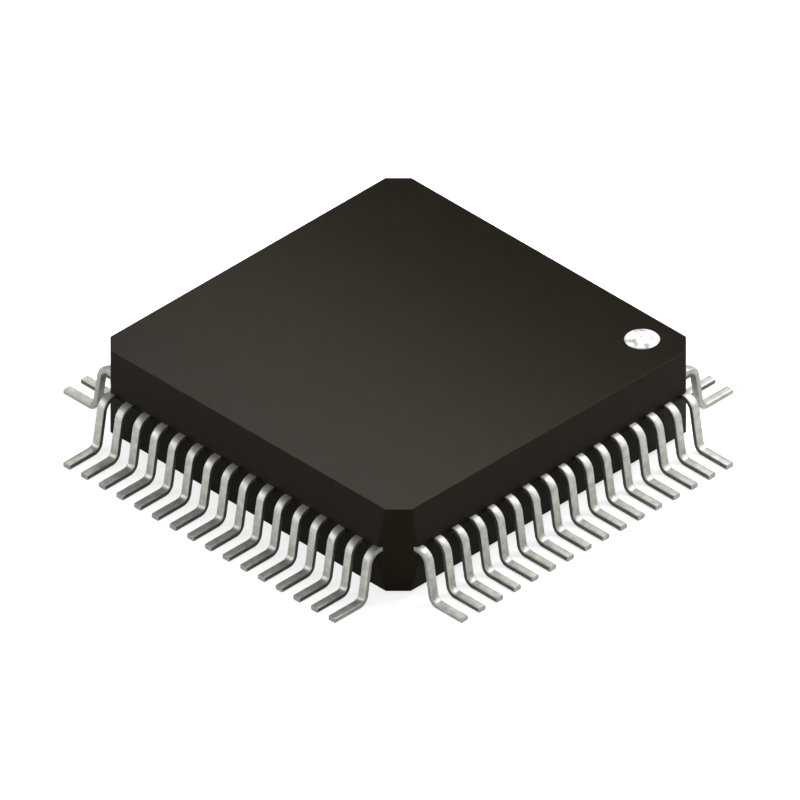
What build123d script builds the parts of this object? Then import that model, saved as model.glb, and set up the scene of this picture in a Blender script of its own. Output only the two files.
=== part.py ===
from build123d import *
import math
import os

# A programmable logic chip in a plastic quad flat package, 64 gull-wing leads at 0.8 mm.
# The origin is on the seating plane under the centre of the body, with +Z up.
# Seen from above, lead 1 is next to the (-X, +Y) corner and the count runs anticlockwise.

# Lead row
leads_per_side = 16
pitch = 0.80
end_margin = 0.98  # from the centre of an end lead to the side wall beyond it
leads_per_node = 2

# Lead strip and its gull-wing form, all outside the side wall
lead_width = 0.31
lead_thickness = 0.18
lead_level = 1.75  # underside of the strip where it leaves the body
root_straight = 0.015  # level stretch between the wall and the shoulder bend
shoulder_radius = 0.32  # inside of the bend
leg_lean = 9.2  # degrees off vertical, foot outwards
heel_radius = 0.38  # underside of the bend, whose upper side is a crisp corner
foot_length = 1.37  # flat on the board, from the meeting of leg and foot to the tip

# Moulded body
standoff = 0.19
body_thickness = 3.19
wall_draft = 6.4  # degrees, above and below the parting line
corner_cut = 0.94  # leg of the upright corner chamfer, measured at the parting line

# Pin-one mark in the top face
mark_diameter = 1.16
mark_inset_x = 1.10  # from its centre to the top edge on the -X side
mark_inset_y = 1.49  # and to the one on the +Y side
mark_depth = 0.06
ink_thickness = 0.05

# Lead fingers inside the body
root_cover = 0.12  # moulding over the root of an end lead before its finger turns
tip_width = 0.17
tip_gap = 0.35  # between the paddle and the fingertips
tip_corner = 0.72  # from an end fingertip to the next side's line of fingertips

# Die paddle and its tie bars
paddle_size = 7.2
paddle_downset = 0.25
tie_width = 0.30
tie_level_run = 0.45  # level stretch from the paddle's corner to the downset
tie_slant_run = 0.40
tie_cover = 0.30  # moulding between the tie bar's end and the corner chamfer

# Die and its adhesive
die_size = 5.0
die_thickness = 0.36
adhesive_thickness = 0.04
adhesive_margin = 0.14

# Bond wires, drawn square in section
wire_size = 0.03
wire_rise = 0.24  # over the die before the wire turns outwards
stitch_inset = 0.15  # from the fingertip to the middle of the stitch
pad_inset = 0.12  # from the die's edge to the line of bond pads
pad_corner = 0.30  # from an end pad to the die's next edge

# Sizes that follow from those above
row_half = (leads_per_side - 1) * pitch / 2
body_half = row_half + end_margin
lead_middle = lead_level + lead_thickness / 2
lead_top = lead_level + lead_thickness
body_top = standoff + body_thickness
corner_distance = (2 * body_half - corner_cut) / math.sqrt(2)
top_half = body_half - (body_top - lead_middle) * math.tan(math.radians(wall_draft))
root_end = 2 * body_half - corner_cut - (row_half + lead_width / 2) - root_cover
paddle_half = paddle_size / 2
paddle_top = lead_top - paddle_downset
tip_line = paddle_half + tip_gap
tip_row_half = tip_line - tip_corner
die_bottom = paddle_top + adhesive_thickness
die_top = die_bottom + die_thickness
pad_line = die_size / 2 - pad_inset
pad_row_half = die_size / 2 - pad_corner


def strip_outline(path, thickness, level_end=False):
    """Corners of a bent strip of even thickness around its middle line, both as (x, z)."""
    turns = []
    for before, after in zip(path, path[1:]):
        turns.append(math.atan2(after[1] - before[1], after[0] - before[0]))
    # A strip ends square, or is mitred to lie level as if it met its own mirror image
    last_turn = -math.pi - turns[-1] if level_end else turns[-1]
    starts = [turns[0]] + turns
    ends = turns + [last_turn]
    left, right = [], []
    for (x, z), arriving, leaving in zip(path, starts, ends):
        middle = (arriving + leaving) / 2
        reach = thickness / 2 / math.cos((leaving - arriving) / 2)
        across = (-math.sin(middle) * reach, math.cos(middle) * reach)
        left.append((x + across[0], z + across[1]))
        right.append((x - across[0], z - across[1]))
    return left + right[::-1]


def upright_face(outline):
    """The outline as a face in the XZ plane."""
    return make_face(Plane.XZ * Polyline(*outline, close=True))


def round_corner(face, corner, radius):
    """The face with one corner, given as (x, z), rounded."""
    place = Vector(corner[0], 0, corner[1])
    return fillet(face.vertices().sort_by_distance(place)[0], radius)


def strip(face, width):
    return extrude(face, amount=width / 2, both=True)


def along_row(index, half_length):
    """Place of one of a side's leads, tips or pads along a row of the given half length."""
    return half_length * (2 * index / (leads_per_side - 1) - 1)


def gull_wing():
    """The formed outer lead from the finger's root to the tip, on the X axis."""
    turn = math.tan(math.radians(90 - leg_lean) / 2)
    shoulder = body_half + root_straight + (shoulder_radius + lead_thickness / 2) * turn
    foot_middle = lead_thickness / 2
    heel = shoulder + (lead_middle - foot_middle) * math.tan(math.radians(leg_lean))
    path = [
        (root_end, lead_middle),
        (shoulder, lead_middle),
        (heel, foot_middle),
        (heel + foot_length, foot_middle),
    ]
    outline = strip_outline(path, lead_thickness)
    outer_shoulder, heel_under, inner_shoulder = outline[1], outline[5], outline[6]
    face = upright_face(outline)
    face = round_corner(face, outer_shoulder, shoulder_radius + lead_thickness)
    face = round_corner(face, inner_shoulder, shoulder_radius)
    face = round_corner(face, heel_under, heel_radius)
    return strip(face, lead_width)


def finger_point(index, outward):
    """A point on a finger's middle line at the given distance from the body's centre line."""
    root, tip = along_row(index, row_half), along_row(index, tip_row_half)
    share = (root_end - outward) / (root_end - tip_line)
    return outward, root + (tip - root) * share


def finger(index):
    """The flat inner part of a lead, which tapers as it fans in to the paddle."""
    root = along_row(index, row_half)
    tip = along_row(index, tip_row_half)
    slope = math.hypot(root_end - tip_line, root - tip) / (root_end - tip_line)
    tip_half = tip_width * slope / 2
    corners = [
        (root_end, root - lead_width / 2),
        (root_end, root + lead_width / 2),
        (tip_line, tip + tip_half),
        (tip_line, tip - tip_half),
    ]
    plan = make_face(Plane.XY.offset(lead_level) * Polyline(*corners, close=True))
    return extrude(plan, amount=lead_thickness)


def lead(index):
    """One whole lead, finger and gull wing, on the +X side."""
    return Pos(0, along_row(index, row_half), 0) * gull_wing() + finger(index)


def bond_wire(index):
    """A wire that rises from its pad, clears the die's edge and slopes down to a stitch on the finger."""
    pad = Vector(pad_line, along_row(index, pad_row_half), 0)
    stitch = Vector(*finger_point(index, tip_line + stitch_inset), 0)
    path = [
        (0, die_top),
        (0, die_top + wire_rise),
        ((stitch - pad).length, lead_top),
    ]
    heading = math.degrees(math.atan2(stitch.Y - pad.Y, stitch.X - pad.X))
    face = upright_face(strip_outline(path, wire_size, level_end=True))
    return Pos(pad.X, pad.Y, 0) * Rot(0, 0, heading) * strip(face, wire_size)


def tie_bar():
    """One bent bar that holds the paddle, along the X axis before it is turned to a corner."""
    start = paddle_half * math.sqrt(2) - tie_width
    low = paddle_top - lead_thickness / 2
    knee = paddle_half * math.sqrt(2) + tie_level_run
    path = [
        (start, low),
        (knee, low),
        (knee + tie_slant_run, lead_middle),
        (corner_distance - tie_cover, lead_middle),
    ]
    return strip(upright_face(strip_outline(path, lead_thickness)), tie_width)


def die_paddle():
    """The square plate under the die with a tie bar at each corner, one stamping."""
    plate = extrude(Plane.XY.offset(paddle_top) * Rectangle(paddle_size, paddle_size), amount=-lead_thickness)
    for corner in range(4):
        plate += Rot(0, 0, 45 + 90 * corner) * tie_bar()
    return plate


def die_adhesive():
    """The thin layer of die attach, squeezed out past the die to a sloping edge."""
    spread = die_size + 2 * adhesive_margin
    slope = math.degrees(math.atan2(adhesive_margin / 2, adhesive_thickness))
    layer = Plane.XY.offset(paddle_top) * Rectangle(spread, spread)
    return extrude(layer, amount=adhesive_thickness, taper=slope)


def silicon_die():
    return extrude(Plane.XY.offset(die_bottom) * Rectangle(die_size, die_size), amount=die_thickness)


def mark_disc(thickness):
    """A disc as wide as the pin-one mark, standing on the floor of its dimple."""
    centre = Pos(mark_inset_x - top_half, top_half - mark_inset_y)
    floor = Plane.XY.offset(body_top - mark_depth)
    return extrude(floor * centre * Circle(mark_diameter / 2), amount=thickness)


def drafted_block(height):
    """A block on the parting line's outline whose four walls lean in as it rises."""
    return extrude(Rectangle(2 * body_half, 2 * body_half), amount=height, taper=wall_draft)


def body_form():
    """The body, widest at the parting line, with its four corners cut upright."""
    upper = drafted_block(body_top - lead_middle)
    lower = mirror(drafted_block(lead_middle - standoff), about=Plane.XY)
    across_corners = Rot(0, 0, 45) * Rectangle(2 * corner_distance, 2 * corner_distance)
    return (Pos(0, 0, lead_middle) * (upper + lower)) & extrude(across_corners, amount=body_top)


def write(shape, node):
    export_step(shape, f"parts/{node}.step")


def main():
    os.makedirs("parts", exist_ok=True)
    # Sides in the order of the count, each as the +X side turned about the centre
    sides = {"left": 180, "front": 270, "right": 0, "back": 90}
    row = [lead(index) for index in range(leads_per_side)]
    wires = [bond_wire(index) for index in range(leads_per_side)]
    leads, all_wires = [], []
    for side, turned in sides.items():
        leads += [Rot(0, 0, turned) * one for one in row]
        side_wires = [Rot(0, 0, turned) * one for one in wires]
        all_wires += side_wires
        write(Compound(children=side_wires), f"bond_wires_{side}")
    for first in range(0, len(leads), leads_per_node):
        group = leads[first : first + leads_per_node]
        write(Compound(children=group), f"leads_{first + 1:02d}_{first + len(group):02d}")

    paddle, adhesive, die = die_paddle(), die_adhesive(), silicon_die()
    write(paddle, "die_paddle")
    write(adhesive, "die_adhesive")
    write(die, "silicon_die")
    write(mark_disc(ink_thickness), "pin_one_mark")
    write(body_form() - [mark_disc(mark_depth), paddle, adhesive, die, *leads, *all_wires], "mould_body")


main()
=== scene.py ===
import math

import bpy
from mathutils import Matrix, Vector


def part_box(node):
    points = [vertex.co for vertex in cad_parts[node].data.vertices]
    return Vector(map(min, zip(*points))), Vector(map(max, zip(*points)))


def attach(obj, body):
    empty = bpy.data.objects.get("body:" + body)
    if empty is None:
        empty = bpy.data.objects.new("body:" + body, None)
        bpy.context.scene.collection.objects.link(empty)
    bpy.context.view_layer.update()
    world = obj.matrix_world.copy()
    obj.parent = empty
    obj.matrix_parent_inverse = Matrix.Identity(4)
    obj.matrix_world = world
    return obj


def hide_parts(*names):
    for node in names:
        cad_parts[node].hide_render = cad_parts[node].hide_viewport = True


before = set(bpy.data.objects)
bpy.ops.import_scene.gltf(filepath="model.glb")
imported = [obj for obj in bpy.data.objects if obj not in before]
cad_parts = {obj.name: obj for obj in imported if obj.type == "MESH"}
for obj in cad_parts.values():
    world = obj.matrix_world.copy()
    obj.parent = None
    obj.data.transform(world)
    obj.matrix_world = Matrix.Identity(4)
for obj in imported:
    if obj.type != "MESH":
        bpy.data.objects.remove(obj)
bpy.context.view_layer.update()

# Pieces are modelled in millimetres and brought to metres when they are finished
MM = 0.001
SMOOTH_UP_TO = math.radians(35)  # sharper edges stay sharp
FLAT_WEIGHT = 100  # lets large faces set their corners' normals and stay flat
FACING = 0.9  # share of a face's normal along an axis, over which the face looks that way

# Lead rows and strip, as the frame's leads but with a rounded inner corner at the heel
LEADS_PER_SIDE = 16
LEADS_PER_PIECE = 2
PITCH = 0.80
STRIP_WIDTH = 0.31
STRIP_THICKNESS = 0.18
ROOT_STRAIGHT = 0.015
SHOULDER_RADIUS = 0.32  # this and the next on the strip's underside
HEEL_RADIUS = 0.38
LEG_LEAN = math.radians(9.2)  # off upright, foot outwards
CORNER_CUT = 0.94  # leg of the body's corner chamfer
ROOT_COVER = 0.12  # moulding over the root of an end lead before its finger turns
FINGERTIP_WIDTH = 0.17
FINGERTIP_CORNER = 0.72  # from an end fingertip to the next side's line of fingertips
BEND_STEPS = 14
EDGE_ROUNDING = 0.04
ROUNDING_STEPS = 3
SHADED_SIDE_EDGE, UNSHADED_OPEN_EDGE = 1, 2  # a lead's materials after its rolled face's; the side edge's darker tone is painted shade from the neighbouring leads, and the open edge is the same edge without that painted shade
# Sides in the order of the count, with their turn from +X
SIDES = {"left": 180, "front": 270, "right": 0, "back": 90}

# Body and mark
BODY_EDGE_ROUNDING = 0.03
RIM_REACH = 0.4  # in from the widest line of the walls, past their edges but short of the dimple
CHAMFER_SLACK = 0.003
MERGE_WITHIN = 0.0005
FLAT_WITHIN = math.radians(0.5)
INK_CROWN = 0.02
INK_FACETS = 72
RIM_SHADE_REACH = 0.64  # where the painted shade on the ink's rim is full, measured from the middle of its gradient
# Moves the middle of the rim's gradient so that the painted rim shade falls on one side
RIM_SHADE_SHIFT = (-0.07, 0, 0)
SPOT_SHIFT = (0.0117, -0.0189, 0.0153)  # brings thin spots of the noise to their place in the mark

# Studio
FLOOR_SIZE = 0.8
FLOOR_WHITE = (0.8, 0.8, 0.8, 1)
FLOOR_GLOW = {"Is Camera Ray": 0.75, "Is Glossy Ray": 0.15, "Is Transmission Ray": 0.15}
BACKDROP_GLOW = {"Is Camera Ray": 0.95, "Is Glossy Ray": 0.05, "Is Transmission Ray": 0.05}
WORLD_LIGHT = 0.05

# Camera: the part's origin falls on this pixel of the 800 pixel square picture
PICTURE = 800
PIXELS_PER_MM = 31.27
ORIGIN_PIXEL = (398.3, 430.1)
CAMERA_AZIMUTH = math.radians(135)
CAMERA_ELEVATION = math.atan(math.sqrt(0.5))
CAMERA_DISTANCE = 0.12


def box_mm(node):
    low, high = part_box(node)
    return low / MM, high / MM


body_low, body_high = box_mm("mould_body")
ink_low, ink_high = box_mm("pin_one_mark")
pair_low, pair_high = box_mm("leads_33_34")  # on the +X side
body_half = body_high.x
turn = math.pi / 2 - LEG_LEAN  # at the shoulder and back at the heel
strip_middle = pair_high.z - STRIP_THICKNESS / 2
row_half = (LEADS_PER_SIDE - 1) * PITCH / 2
root_end = 2 * body_half - CORNER_CUT - (row_half + STRIP_WIDTH / 2) - ROOT_COVER
shoulder_start = body_half + ROOT_STRAIGHT
lead_tip = pair_high.x
finger_tip = pair_low.x
finger_tip_row_half = finger_tip - FINGERTIP_CORNER


# Edit mode

def start_clean():
    """Leaves nothing selected, because an operator acts on all that is."""
    if bpy.context.object and bpy.context.object.mode != "OBJECT":
        bpy.ops.object.mode_set(mode="OBJECT")
    bpy.ops.object.select_all(action="DESELECT")


def make_active(piece):
    start_clean()
    piece.select_set(True)
    bpy.context.view_layer.objects.active = piece


def near(value, target, within=0.001):
    return abs(value - target) < within


def clear_pick(kind):
    """Deselects the active mesh's edges or faces, and leaves it in object mode."""
    bpy.ops.object.mode_set(mode="EDIT")
    bpy.ops.mesh.select_mode(type=kind)
    bpy.ops.mesh.select_all(action="DESELECT")
    bpy.ops.object.mode_set(mode="OBJECT")


def pick(piece, kind, wanted):
    """Selects, in edit mode, only the edges or faces whose points all pass wanted(point)."""
    clear_pick(kind)
    mesh = piece.data
    for element in mesh.edges if kind == "EDGE" else mesh.polygons:
        element.select = all(wanted(mesh.vertices[corner].co) for corner in element.vertices)
    bpy.ops.object.mode_set(mode="EDIT")


def pick_lengthways(piece):
    """Selects, in edit mode, only the edges that run along X."""
    clear_pick("EDGE")
    for edge in piece.data.edges:
        first, second = (piece.data.vertices[corner].co for corner in edge.vertices)
        edge.select = not near(first.x, second.x)
    bpy.ops.object.mode_set(mode="EDIT")


def duplicate(piece):
    """A copy with its own mesh, left active and selected."""
    make_active(piece)
    bpy.ops.object.duplicate(linked=False)
    return bpy.context.object


def finish_piece(piece, name, nodes):
    """Brings a finished piece to metres, its place kept in its mesh, and gives it to the frame."""
    make_active(piece)
    piece.scale = (MM, MM, MM)
    bpy.ops.object.transform_apply(location=True, rotation=True, scale=True)
    bpy.ops.object.shade_smooth_by_angle(angle=SMOOTH_UP_TO)
    level = piece.modifiers.new("flat_faces", "WEIGHTED_NORMAL")
    level.keep_sharp = True
    level.weight = FLAT_WEIGHT
    bpy.ops.object.modifier_apply(modifier=level.name)
    piece.name = name
    piece.data.name = name
    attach(piece, "root")
    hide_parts(*nodes)


def give_material(piece, material):
    piece.data.materials.clear()
    piece.data.materials.append(material)


# Materials

def new_material(name):
    material = bpy.data.materials.new(name)
    material.use_nodes = True
    return material, material.node_tree, material.node_tree.nodes["Principled BSDF"]


def noise(tree, scale, detail=3.0, squeeze=(1, 1, 1), shift=(0, 0, 0)):
    """Noise on Object coordinates, in features per metre, squeezed or moved where asked."""
    place = tree.nodes.new("ShaderNodeTexCoord")
    mapping = tree.nodes.new("ShaderNodeMapping")
    texture = tree.nodes.new("ShaderNodeTexNoise")
    mapping.inputs["Scale"].default_value = squeeze
    mapping.inputs["Location"].default_value = shift
    texture.inputs["Scale"].default_value = scale
    texture.inputs["Detail"].default_value = detail
    tree.links.new(place.outputs["Object"], mapping.inputs["Vector"])
    tree.links.new(mapping.outputs["Vector"], texture.inputs["Vector"])
    return texture.outputs["Fac"]


def ramp(tree, factor, stops):
    """A colour ramp whose stops are (place, colour)."""
    node = tree.nodes.new("ShaderNodeValToRGB")
    elements = node.color_ramp.elements
    while len(elements) < len(stops):
        elements.new(1.0)
    for element, (place, colour) in zip(elements, stops):
        element.position = place
        element.color = (*colour, 1.0)
    tree.links.new(factor, node.inputs["Fac"])
    return node.outputs["Color"]


def map_range(tree, factor, low, high, span=(0, 1)):
    node = tree.nodes.new("ShaderNodeMapRange")
    node.inputs["From Min"].default_value, node.inputs["From Max"].default_value = span
    node.inputs["To Min"].default_value = low
    node.inputs["To Max"].default_value = high
    tree.links.new(factor, node.inputs["Value"])
    return node.outputs["Result"]


def bump(tree, shader, height, distance, strength):
    node = tree.nodes.new("ShaderNodeBump")
    node.inputs["Distance"].default_value = distance
    node.inputs["Strength"].default_value = strength
    tree.links.new(height, node.inputs["Height"])
    tree.links.new(node.outputs["Normal"], shader.inputs["Normal"])


def epoxy_moulding():
    """Warm black moulding compound, matt from the mould's spark-eroded walls."""
    material, tree, shader = new_material("epoxy_moulding")
    mottle = noise(tree, 900, detail=4)
    stops = [(0.30, (0.0056, 0.0050, 0.0036)), (0.70, (0.0070, 0.0062, 0.0046))]
    tree.links.new(ramp(tree, mottle, stops), shader.inputs["Base Color"])
    grain = noise(tree, 24000, detail=2)
    tree.links.new(map_range(tree, grain, 0.30, 0.36), shader.inputs["Roughness"])
    shader.inputs["Specular IOR Level"].default_value = 0.12
    shader.inputs["Specular Tint"].default_value = (1.0, 0.73, 0.42, 1.0)
    bump(tree, shader, grain, 0.000003, 0.2)
    return material


def tin_plate():
    """Satin tin over the lead strip, with soft clouding from the plating."""
    material, tree, shader = new_material("tin_plate")
    shader.inputs["Metallic"].default_value = 0.7
    clouding = noise(tree, 4200, detail=4)
    stops = [(0.32, (0.50, 0.496, 0.452)), (0.68, (0.70, 0.695, 0.648))]
    tree.links.new(ramp(tree, clouding, stops), shader.inputs["Base Color"])
    grain = noise(tree, 15000, detail=3)
    tree.links.new(map_range(tree, grain, 0.42, 0.52), shader.inputs["Roughness"])
    bump(tree, shader, grain, 0.000003, 0.2)
    return material


def painted_shade_edge(name, dark, light):
    """A stamped side of the strip, rougher than its rolled faces, whose tone is painted shade: dark
    between neighbouring leads, lighter where no neighbour stands.
    """
    material, tree, shader = new_material(name)
    shader.inputs["Metallic"].default_value = 0.8
    shear = noise(tree, 3500, detail=4)
    stops = [(0.32, dark), (0.68, light)]
    tree.links.new(ramp(tree, shear, stops), shader.inputs["Base Color"])
    tree.links.new(map_range(tree, shear, 0.45, 0.60), shader.inputs["Roughness"])
    return material


def white_ink():
    """White marking ink, so thin in spots that grey shows through, with painted shade greying one
    side of its rim.
    """
    material, tree, shader = new_material("white_ink")
    spots = noise(tree, 3600, detail=2, shift=SPOT_SHIFT)
    place = tree.nodes.new("ShaderNodeTexCoord")
    centring = tree.nodes.new("ShaderNodeMapping")
    rim = tree.nodes.new("ShaderNodeTexGradient")
    rim.gradient_type = "SPHERICAL"
    reach = 1 / (RIM_SHADE_REACH * MM)
    middle = Vector((*((ink_low + ink_high) / 2).xy, ink_high.z)) + Vector(RIM_SHADE_SHIFT)
    centring.inputs["Scale"].default_value = (reach, reach, reach)
    centring.inputs["Location"].default_value = -middle * MM * reach
    tree.links.new(place.outputs["Object"], centring.inputs["Vector"])
    tree.links.new(centring.outputs["Vector"], rim.inputs["Vector"])
    # Painted shade on one side of the rim, multiplied by the ink's thin spots
    spots_and_rim_shade = tree.nodes.new("ShaderNodeMath")
    spots_and_rim_shade.operation = "MULTIPLY"
    tree.links.new(spots, spots_and_rim_shade.inputs[0])
    painted_rim_shade = map_range(tree, rim.outputs["Fac"], 0.72, 1.0, (0.04, 0.16))
    tree.links.new(painted_rim_shade, spots_and_rim_shade.inputs[1])
    stops = [(0.32, (0.34, 0.34, 0.33)), (0.46, (0.80, 0.80, 0.78)), (1.0, (0.86, 0.86, 0.85))]
    tree.links.new(ramp(tree, spots_and_rim_shade.outputs["Value"], stops), shader.inputs["Base Color"])
    shader.inputs["Roughness"].default_value = 0.55
    bump(tree, shader, noise(tree, 9000), 0.000008, 0.4)
    return material


def polished_silicon():
    material, tree, shader = new_material("polished_silicon")
    stops = [(0.3, (0.10, 0.11, 0.14)), (0.7, (0.17, 0.16, 0.20))]
    tree.links.new(ramp(tree, noise(tree, 1500, detail=1), stops), shader.inputs["Base Color"])
    shader.inputs["Metallic"].default_value = 0.6
    shader.inputs["Roughness"].default_value = 0.16
    return material


def silver_adhesive():
    material, tree, shader = new_material("silver_adhesive")
    flakes = noise(tree, 22000, detail=2)
    stops = [(0.35, (0.40, 0.40, 0.41)), (0.65, (0.62, 0.62, 0.63))]
    tree.links.new(ramp(tree, flakes, stops), shader.inputs["Base Color"])
    tree.links.new(map_range(tree, flakes, 0.35, 0.6), shader.inputs["Roughness"])
    shader.inputs["Metallic"].default_value = 0.5
    return material


def bare_strip():
    """The unplated iron-nickel strip of the die paddle, with the lines of its rolling."""
    material, tree, shader = new_material("bare_strip")
    rolled = noise(tree, 3000, detail=4, squeeze=(1, 12, 1))
    stops = [(0.3, (0.50, 0.49, 0.46)), (0.7, (0.62, 0.61, 0.58))]
    tree.links.new(ramp(tree, rolled, stops), shader.inputs["Base Color"])
    tree.links.new(map_range(tree, rolled, 0.28, 0.42), shader.inputs["Roughness"])
    shader.inputs["Metallic"].default_value = 1.0
    return material


def drawn_gold():
    material, tree, shader = new_material("drawn_gold")
    stops = [(0.3, (0.86, 0.60, 0.22)), (0.7, (0.95, 0.72, 0.32))]
    tree.links.new(ramp(tree, noise(tree, 3000), stops), shader.inputs["Base Color"])
    shader.inputs["Metallic"].default_value = 1.0
    shader.inputs["Roughness"].default_value = 0.22
    return material


# Leads

def along_row(index, half_length):
    return half_length * (2 * index / (LEADS_PER_SIDE - 1) - 1)


def gull_wing():
    """The formed outer lead on the X axis, drawn out from a block at its root."""
    start_clean()
    middle = Vector(((root_end + shoulder_start) / 2, 0, strip_middle))
    size = (shoulder_start - root_end, STRIP_WIDTH, STRIP_THICKNESS)
    bpy.ops.mesh.primitive_cube_add(size=1, location=middle, scale=size)
    strip = bpy.context.object
    bpy.ops.object.transform_apply(location=True, rotation=True, scale=True)

    # Long edges, rounded by stamping and plating
    pick_lengthways(strip)
    bpy.ops.mesh.bevel(offset=EDGE_ROUNDING, segments=ROUNDING_STEPS)

    # Both bends turn by the same angle, so the leg follows from the strip's middle line
    shoulder_middle = SHOULDER_RADIUS + STRIP_THICKNESS / 2
    heel_middle = HEEL_RADIUS - STRIP_THICKNESS / 2
    shoulder_centre = Vector((shoulder_start, 0, strip_middle - shoulder_middle))
    drop = shoulder_centre.z - HEEL_RADIUS + (shoulder_middle + heel_middle) * math.cos(turn)
    leg = Vector((drop / math.tan(turn), 0, -drop))
    foot_start = shoulder_start + leg.x + (shoulder_middle + heel_middle) * math.sin(turn)
    foot = Vector((lead_tip - foot_start, 0, 0))
    heel_centre = Vector((foot_start, 0, HEEL_RADIUS))
    pick(strip, "FACE", lambda point: near(point.x, shoulder_start))
    bpy.ops.mesh.spin(steps=BEND_STEPS, angle=-turn, center=shoulder_centre, axis=(0, 1, 0))
    bpy.ops.mesh.extrude_region_move(TRANSFORM_OT_translate={"value": leg})
    bpy.ops.mesh.spin(steps=BEND_STEPS, angle=turn, center=heel_centre, axis=(0, 1, 0))
    bpy.ops.mesh.extrude_region_move(TRANSFORM_OT_translate={"value": foot})
    bpy.ops.mesh.select_all(action="SELECT")
    bpy.ops.mesh.normals_make_consistent(inside=False)
    bpy.ops.object.mode_set(mode="OBJECT")
    return strip


def whole_lead(strip, index):
    """A copy of the gull wing in its place in the row, its flat finger drawn in from the root."""
    root = along_row(index, row_half)
    tip = along_row(index, finger_tip_row_half)
    slope = math.hypot(root_end - finger_tip, root - tip) / (root_end - finger_tip)
    lead = duplicate(strip)
    lead.location = (0, root, 0)
    bpy.ops.object.transform_apply(location=True, rotation=True, scale=True)
    pick(lead, "FACE", lambda point: near(point.x, root_end))
    inwards = (finger_tip - root_end, tip - root, 0)
    bpy.ops.mesh.extrude_region_move(TRANSFORM_OT_translate={"value": inwards})
    taper = FINGERTIP_WIDTH * slope / STRIP_WIDTH
    bpy.ops.transform.resize(value=(1, taper, 1), center_override=(finger_tip, tip, strip_middle))
    bpy.ops.object.mode_set(mode="OBJECT")
    return lead


def open_side(lead, direction):
    """Gives the outward side of an end lead, which has no neighbour beside it, the open edge, which
    lacks the painted shade of the sides between leads.
    """
    for face in lead.data.polygons:
        if face.normal.y * direction > FACING:
            face.material_index = UNSHADED_OPEN_EDGE


def join(pieces):
    make_active(pieces[0])
    for piece in pieces[1:]:
        piece.select_set(True)
    bpy.ops.object.join()
    return bpy.context.object


def lead_rows(rolled_face, shaded_side_edge, unshaded_open_edge):
    """The 64 leads, tinned on their rolled faces, with painted shade darkening their sides and less
    of it on open sides and tips.
    """
    strip = gull_wing()
    for material in (rolled_face, shaded_side_edge, unshaded_open_edge):
        strip.data.materials.append(material)
    for face in strip.data.polygons:
        if abs(face.normal.y) > FACING:
            face.material_index = SHADED_SIDE_EDGE
        elif face.normal.x > FACING and near(face.center.x, lead_tip):
            face.material_index = UNSHADED_OPEN_EDGE
    for first in range(0, LEADS_PER_SIDE, LEADS_PER_PIECE):
        leads = [whole_lead(strip, first + place) for place in range(LEADS_PER_PIECE)]
        if first == 0:
            open_side(leads[0], -1)
        if first + LEADS_PER_PIECE == LEADS_PER_SIDE:
            open_side(leads[-1], 1)
        group = join(leads)
        for order, turned in enumerate(SIDES.values()):
            piece = duplicate(group)
            piece.rotation_euler = (0, 0, math.radians(turned))
            bpy.ops.object.transform_apply(location=True, rotation=True, scale=True)
            number = order * LEADS_PER_SIDE + first + 1
            span = f"{number:02d}_{number + LEADS_PER_PIECE - 1:02d}"
            finish_piece(piece, f"tinned_leads_{span}", [f"leads_{span}"])
        bpy.data.objects.remove(group)
    bpy.data.objects.remove(strip)


# Body and its mark

def moulded_body(material):
    """The frame's body with its mould's small edge roundings."""
    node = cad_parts["mould_body"]
    body = bpy.data.objects.new("moulded_body", node.data.copy())
    bpy.context.scene.collection.objects.link(body)
    make_active(body)
    body.scale = (1 / MM, 1 / MM, 1 / MM)
    bpy.ops.object.transform_apply(location=True, rotation=True, scale=True)
    bpy.ops.object.mode_set(mode="EDIT")
    bpy.ops.mesh.select_all(action="SELECT")
    bpy.ops.mesh.remove_doubles(threshold=MERGE_WITHIN)
    bpy.ops.mesh.dissolve_limited(angle_limit=FLAT_WITHIN)
    chamfer = 2 * body_half - CORNER_CUT

    def on_rim(point):
        """On a chamfer, or on the edge round the top or bottom face."""
        if near(abs(point.x) + abs(point.y), chamfer, CHAMFER_SLACK):
            return True
        on_face = near(point.z, body_high.z) or near(point.z, body_low.z)
        return on_face and max(abs(point.x), abs(point.y)) > body_half - RIM_REACH

    pick(body, "EDGE", on_rim)
    bpy.ops.mesh.bevel(offset=BODY_EDGE_ROUNDING, segments=ROUNDING_STEPS, clamp_overlap=False)
    bpy.ops.object.mode_set(mode="OBJECT")
    give_material(body, material)
    finish_piece(body, "moulded_body", ["mould_body"])


def ink_mark(material):
    """The printed dot on the dimple's floor, a little crowned, with a soft rim."""
    start_clean()
    middle = (ink_low + ink_high) / 2
    radius = (ink_high.x - ink_low.x) / 2
    depth = ink_high.z - ink_low.z
    bpy.ops.mesh.primitive_cylinder_add(
        vertices=INK_FACETS, radius=radius, depth=depth, location=middle
    )
    mark = bpy.context.object
    bpy.ops.object.transform_apply(location=True, rotation=True, scale=True)
    pick(mark, "FACE", lambda point: near(point.z, ink_high.z))
    bpy.ops.mesh.bevel(offset=INK_CROWN, segments=ROUNDING_STEPS)
    bpy.ops.object.mode_set(mode="OBJECT")
    give_material(mark, material)
    finish_piece(mark, "ink_mark", ["pin_one_mark"])


# Studio

def seen_directly(tree, strengths, base=0):
    """A glow with a strength for each kind of ray that sees it, over a base that lights the part."""
    path = tree.nodes.new("ShaderNodeLightPath")
    total = None
    for ray, strength in strengths.items():
        share = tree.nodes.new("ShaderNodeMath")
        share.operation = "MULTIPLY_ADD"
        tree.links.new(path.outputs[ray], share.inputs[0])
        share.inputs[1].default_value = strength
        if total is None:
            share.inputs[2].default_value = base
        else:
            tree.links.new(total, share.inputs[2])
        total = share.outputs["Value"]
    return total


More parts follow.
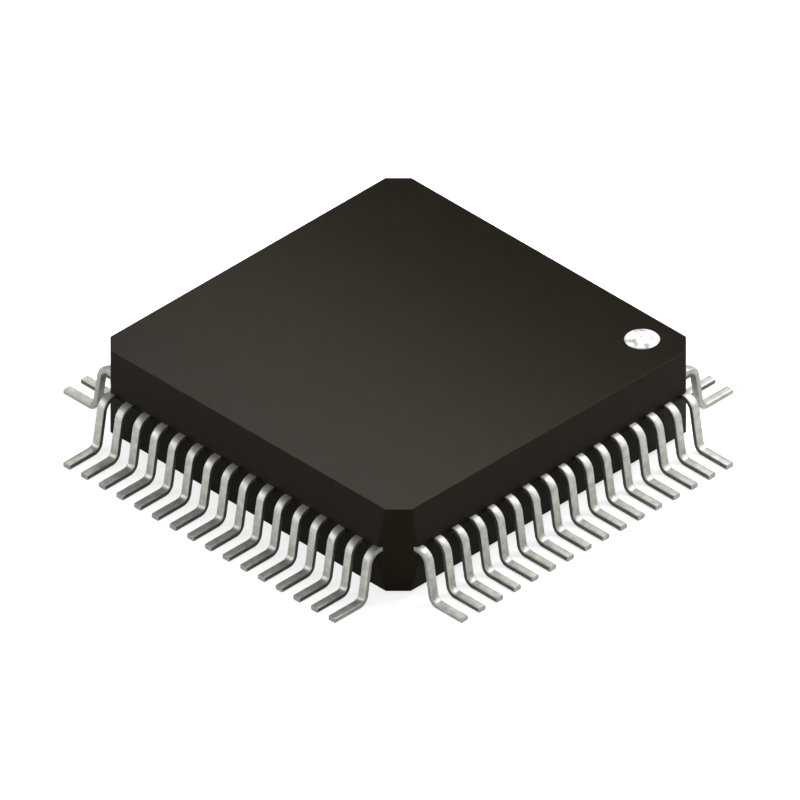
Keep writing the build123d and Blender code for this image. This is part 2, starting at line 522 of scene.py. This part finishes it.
def stage_floor():
    start_clean()
    bpy.ops.mesh.primitive_plane_add(size=FLOOR_SIZE)
    floor = bpy.context.object
    floor.name = "floor"
    material = bpy.data.materials.new("white_floor")
    material.use_nodes = True
    tree = material.node_tree
    tree.nodes.clear()
    output = tree.nodes.new("ShaderNodeOutputMaterial")
    paper = tree.nodes.new("ShaderNodeBsdfDiffuse")
    paper.inputs["Color"].default_value = FLOOR_WHITE
    glow = tree.nodes.new("ShaderNodeEmission")
    both = tree.nodes.new("ShaderNodeAddShader")
    tree.links.new(seen_directly(tree, FLOOR_GLOW), glow.inputs["Strength"])
    tree.links.new(paper.outputs["BSDF"], both.inputs[0])
    tree.links.new(glow.outputs["Emission"], both.inputs[1])
    tree.links.new(both.outputs["Shader"], output.inputs["Surface"])
    give_material(floor, material)


def lamp(name, place, target, size, radiance):
    """A soft box, in millimetres, given by the brightness of its face."""
    data = bpy.data.lights.new(name, "AREA")
    data.shape = "RECTANGLE"
    data.size, data.size_y = (edge * MM for edge in size)
    data.energy = radiance * math.pi * data.size * data.size_y
    box = bpy.data.objects.new(name, data)
    bpy.context.scene.collection.objects.link(box)
    box.location = Vector(place) * MM
    box.rotation_euler = (Vector(target) - Vector(place)).to_track_quat("-Z", "Y").to_euler()
    box.visible_camera = False


def studio():
    world = bpy.data.worlds.new("studio")
    bpy.context.scene.world = world
    world.use_nodes = True
    tree = world.node_tree
    tree.nodes.clear()
    output = tree.nodes.new("ShaderNodeOutputWorld")
    light = tree.nodes.new("ShaderNodeBackground")
    tree.links.new(seen_directly(tree, BACKDROP_GLOW, WORLD_LIGHT), light.inputs["Strength"])
    light.inputs["Color"].default_value = (1, 1, 1, 1)
    tree.links.new(light.outputs["Background"], output.inputs["Surface"])

    lamp("right_softbox", (-34, 14, 44), (0, 2, 1), (36, 36), 3.5)
    lamp("right_low_softbox", (-33, 35, 22), (0, 6, 1), (36, 20), 2.5)
    lamp("overhead_softbox", (-24, 0, 50), (0, 0, 1), (36, 36), 2.35)
    lamp("left_softbox", (45, -36, 25), (3, -3, 1), (44, 30), 2.85)
    lamp("left_low_softbox", (50, 4, 14), (6, 0, 1), (30, 20), 2.0)
    lamp("front_softbox", (40, 40, 12), (3, 3, 1), (40, 24), 1.9)
    # Hangs level behind the body, so that its sheen fades over the top face towards the back
    lamp("back_softbox", (-13.5, -15, 24), (-13.5, -15, 0), (12, 29), 4.0)


def camera():
    data = bpy.data.cameras.new("camera")
    data.type = "ORTHO"
    data.ortho_scale = PICTURE / PIXELS_PER_MM * MM
    data.clip_start = 0.001
    data.clip_end = 10
    eye = bpy.data.objects.new("camera", data)
    bpy.context.scene.collection.objects.link(eye)
    right = Vector((math.cos(CAMERA_AZIMUTH), math.sin(CAMERA_AZIMUTH), 0))
    upright = Vector((0, 0, 1))
    back = right.cross(upright) * math.cos(CAMERA_ELEVATION) + upright * math.sin(CAMERA_ELEVATION)
    up = back.cross(right)
    across, down = (pixel - PICTURE / 2 for pixel in ORIGIN_PIXEL)
    middle = (down * up - across * right) / PIXELS_PER_MM * MM
    eye.location = middle + back * CAMERA_DISTANCE
    eye.rotation_euler = (-back).to_track_quat("-Z", "Y").to_euler()
    bpy.context.scene.camera = eye
    bpy.context.scene.view_settings.view_transform = "Standard"


lead_rows(
    tin_plate(),
    # Painted shade: the side edges are darkened for the neighbouring leads, the open edges much less
    painted_shade_edge("painted_shade_edge", (0.122, 0.119, 0.104), (0.205, 0.200, 0.176)),
    painted_shade_edge("unshaded_open_edge", (0.40, 0.396, 0.360), (0.53, 0.525, 0.485)),
)
moulded_body(epoxy_moulding())
ink_mark(white_ink())

# The pieces inside the body keep the frame's meshes and take only their finish
inner_materials = {
    "die_paddle": bare_strip(),
    "die_adhesive": silver_adhesive(),
    "silicon_die": polished_silicon(),
}
gold = drawn_gold()
for side in SIDES:
    inner_materials[f"bond_wires_{side}"] = gold
for node, material in inner_materials.items():
    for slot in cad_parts[node].material_slots:
        slot.material = material

stage_floor()
studio()
camera()
